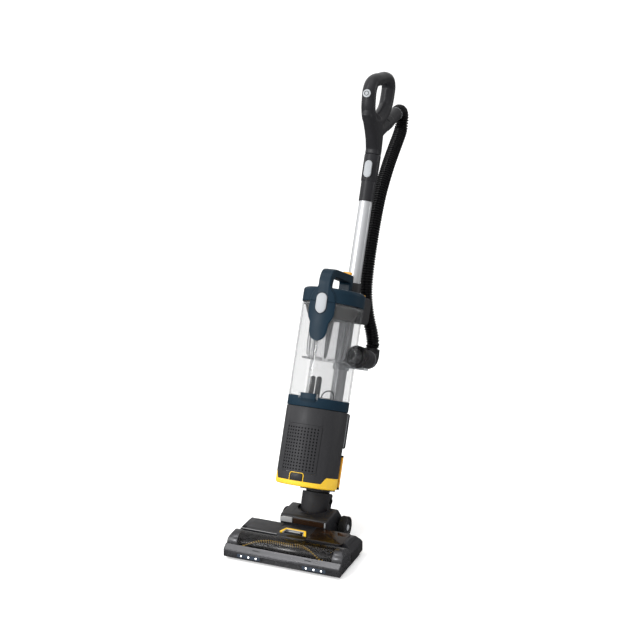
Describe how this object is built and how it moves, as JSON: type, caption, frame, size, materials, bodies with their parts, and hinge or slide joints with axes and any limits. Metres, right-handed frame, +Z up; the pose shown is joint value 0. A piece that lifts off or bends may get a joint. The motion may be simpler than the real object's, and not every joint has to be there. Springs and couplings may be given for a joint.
{
  "type": "upright bagless vacuum cleaner",
  "caption": "Upright bagless vacuum cleaner: motorised floor head, lift-away motor and dust bin pod, docked wand with loop handle, and a corrugated hose.",
  "frame": {"origin": "on the floor, under the middle of the machine's box without its hose", "axes": "+X to the machine's right, -Y to the front of the floor head, +Z up from the floor"},
  "size_m": [0.295, 0.8264, 1.0761],
  "materials": {
    "aluminium": "anodised drawn tube",
    "black": "near-black moulded plastic",
    "bristle": "brush bar with nylon bristle strips",
    "charcoal": "fine grained dark grey moulded plastic",
    "clear": "clear polycarbonate",
    "foam": "open filter foam",
    "gunmetal": "plastic with a brushed gunmetal coating",
    "lens": "frosted lamp lens",
    "light_grey": "light grey moulded plastic",
    "motor_can": "drawn motor can",
    "navy": "satin dark blue moulded plastic",
    "orange": "satin orange moulded plastic",
    "rubber": "matt black rubber",
    "smoked": "smoked transparent plastic",
    "steel": "turned steel",
    "yellow": "satin amber yellow moulded plastic"
  },
  "bodies": {
    "head": {"sole_plate": "black", "bumper": "gunmetal", "end_cap_left": "gunmetal", "end_cap_right": "gunmetal", "led_lens_left": "lens", "led_lens_right": "lens", "head_cover": "charcoal", "rear_housing": "charcoal", "inspection_cover": "smoked", "pivot_pin_left": "steel", "pivot_pin_right": "steel", "wheel_axle_left": "steel", "wheel_axle_right": "steel", "brush_motor": "motor_can", "drive_belt": "rubber"},
    "window": {"brush_window": "smoked"},
    "window_catch": {"window_latch": "yellow"},
    "brush": {"brush_roll": "bristle"},
    "pulley": {"motor_pulley": "steel"},
    "roller_left": {"front_roller_left": "rubber"},
    "roller_right": {"front_roller_right": "rubber"},
    "wheel_left": {"wheel_tyre_left": "rubber", "wheel_hub_left": "charcoal"},
    "wheel_right": {"wheel_tyre_right": "rubber", "wheel_hub_right": "charcoal"},
    "yoke": {"neck": "charcoal", "cord_gland": "rubber"},
    "spine": {"swivel_collar": "black", "spine_base": "charcoal", "spine_heel": "yellow", "rear_cover": "charcoal", "spine_tube": "aluminium", "dock_head": "charcoal", "cuff_cradle": "light_grey", "hose_cuff": "charcoal", "hose_elbow": "black"},
    "wand_release": {"wand_release_bar": "orange"},
    "pod": {"motor_housing": "charcoal", "base_band": "yellow", "suction_motor": "motor_can", "exhaust_filter": "foam"},
    "fan": {"impeller": "light_grey"},
    "vent_door": {"filter_door": "charcoal"},
    "vent_catch": {"door_latch": "yellow"},
    "bin": {"bin_shell": "clear", "bin_base": "navy", "latch_plate": "navy"},
    "bin_catch": {"bin_clip": "navy"},
    "lid_assembly": {"lid": "navy", "cyclone_shroud": "charcoal", "cyclone_ducts": "clear", "pre_filter": "foam"},
    "lid_catch": {"lid_button": "light_grey"},
    "pod_release": {"pod_release_button": "orange"},
    "wand": {"wand_tube": "aluminium", "wand_collar": "charcoal", "handle": "charcoal", "hose": "black"},
    "handle_release": {"handle_release_button": "light_grey"},
    "power": {"power_button": "light_grey"}
  },
  "joints": [
    {"name": "recline", "type": "hinge", "parent": "head", "child": "yoke", "pos_m": [0, -0.18257, 0.0344], "axis": [1, 0, 0], "range_deg": [-45, 23]},
    {"name": "steering_swivel", "type": "hinge", "parent": "yoke", "child": "spine", "pos_m": [0, -0.15366, 0.10252], "axis": [0, 0.3907, 0.9205], "range_deg": [-35, 35]},
    {"name": "brush_spin", "type": "hinge", "parent": "head", "child": "brush", "pos_m": [0, -0.33457, 0.026], "axis": [1, 0, 0], "continuous": true},
    {"name": "motor_spin", "type": "hinge", "parent": "head", "child": "pulley", "pos_m": [0.11, -0.27057, 0.027], "axis": [1, 0, 0], "continuous": true},
    {"name": "roller_left_spin", "type": "hinge", "parent": "head", "child": "roller_left", "pos_m": [-0.1, -0.28057, 0.005], "axis": [1, 0, 0], "continuous": true},
    {"name": "roller_right_spin", "type": "hinge", "parent": "head", "child": "roller_right", "pos_m": [0.1, -0.28057, 0.005], "axis": [1, 0, 0], "continuous": true},
    {"name": "wheel_left_spin", "type": "hinge", "parent": "head", "child": "wheel_left", "pos_m": [-0.075, -0.16257, 0.027], "axis": [1, 0, 0], "continuous": true},
    {"name": "wheel_right_spin", "type": "hinge", "parent": "head", "child": "wheel_right", "pos_m": [0.075, -0.16257, 0.027], "axis": [1, 0, 0], "continuous": true},
    {"name": "window_lift", "type": "slide", "parent": "head", "child": "window", "axis": [0, 0, 1], "range_m": [0, 0.05]},
    {"name": "window_catch_slide", "type": "slide", "parent": "head", "child": "window_catch", "axis": [0, 1, 0], "range_m": [0, 0.004], "stiffness_N_per_m": 400, "springref_m": -0.002},
    {"name": "wand_release_press", "type": "slide", "parent": "spine", "child": "wand_release", "axis": [0, -0.3907, -0.9205], "range_m": [0, 0.0025], "stiffness_N_per_m": 2000, "springref_m": -0.002},
    {"name": "pod_lift_away", "type": "slide", "parent": "spine", "child": "pod", "axis": [0, -0.9205, 0.3907], "range_m": [0, 0.12]},
    {"name": "fan_spin", "type": "hinge", "parent": "pod", "child": "fan", "pos_m": [0, -0.18217, 0.25802], "axis": [0, 0.3907, 0.9205], "continuous": true},
    {"name": "vent_door_removal", "type": "slide", "parent": "pod", "child": "vent_door", "axis": [0, -0.9205, 0.3907], "range_m": [0, 0.04]},
    {"name": "vent_catch_press", "type": "slide", "parent": "pod", "child": "vent_catch", "axis": [0, 0.9205, -0.3907], "range_m": [0, 0.0025], "stiffness_N_per_m": 2000, "springref_m": -0.002},
    {"name": "bin_removal", "type": "slide", "parent": "pod", "child": "bin", "axis": [0, -0.9205, 0.3907], "range_m": [0, 0.1]},
    {"name": "bin_catch_pivot", "type": "hinge", "parent": "bin", "child": "bin_catch", "pos_m": [0, -0.21983, 0.36635], "axis": [1, 0, 0], "range_deg": [0, 25], "stiffness_Nm_per_rad": 0.5, "springref_deg": -5.73},
    {"name": "lid_lift", "type": "slide", "parent": "bin", "child": "lid_assembly", "axis": [0, 0.3907, 0.9205], "range_m": [0, 0.15]},
    {"name": "lid_catch_press", "type": "slide", "parent": "lid_assembly", "child": "lid_catch", "axis": [0, 0.9205, -0.3907], "range_m": [0, 0.0016], "stiffness_N_per_m": 2000, "springref_m": -0.002},
    {"name": "pod_release_press", "type": "slide", "parent": "lid_assembly", "child": "pod_release", "axis": [0, -0.3907, -0.9205], "range_m": [0, 0.0025], "stiffness_N_per_m": 2000, "springref_m": -0.002},
    {"name": "wand_pull_out", "type": "slide", "parent": "spine", "child": "wand", "axis": [0, 0.3907, 0.9205], "range_m": [0, 0.06], "deforming": ["hose"]},
    {"name": "handle_release_press", "type": "slide", "parent": "wand", "child": "handle_release", "axis": [0, 0.9205, -0.3907], "range_m": [0, 0.0015], "stiffness_N_per_m": 2000, "springref_m": -0.002},
    {"name": "power_press", "type": "slide", "parent": "wand", "child": "power", "axis": [0, 0.9205, -0.3907], "range_m": [0, 0.0015], "stiffness_N_per_m": 2000, "springref_m": -0.002}
  ],
  "couplings": [
    {"joint": "motor_spin", "follows": "brush_spin", "ratio": 2}
  ]
}
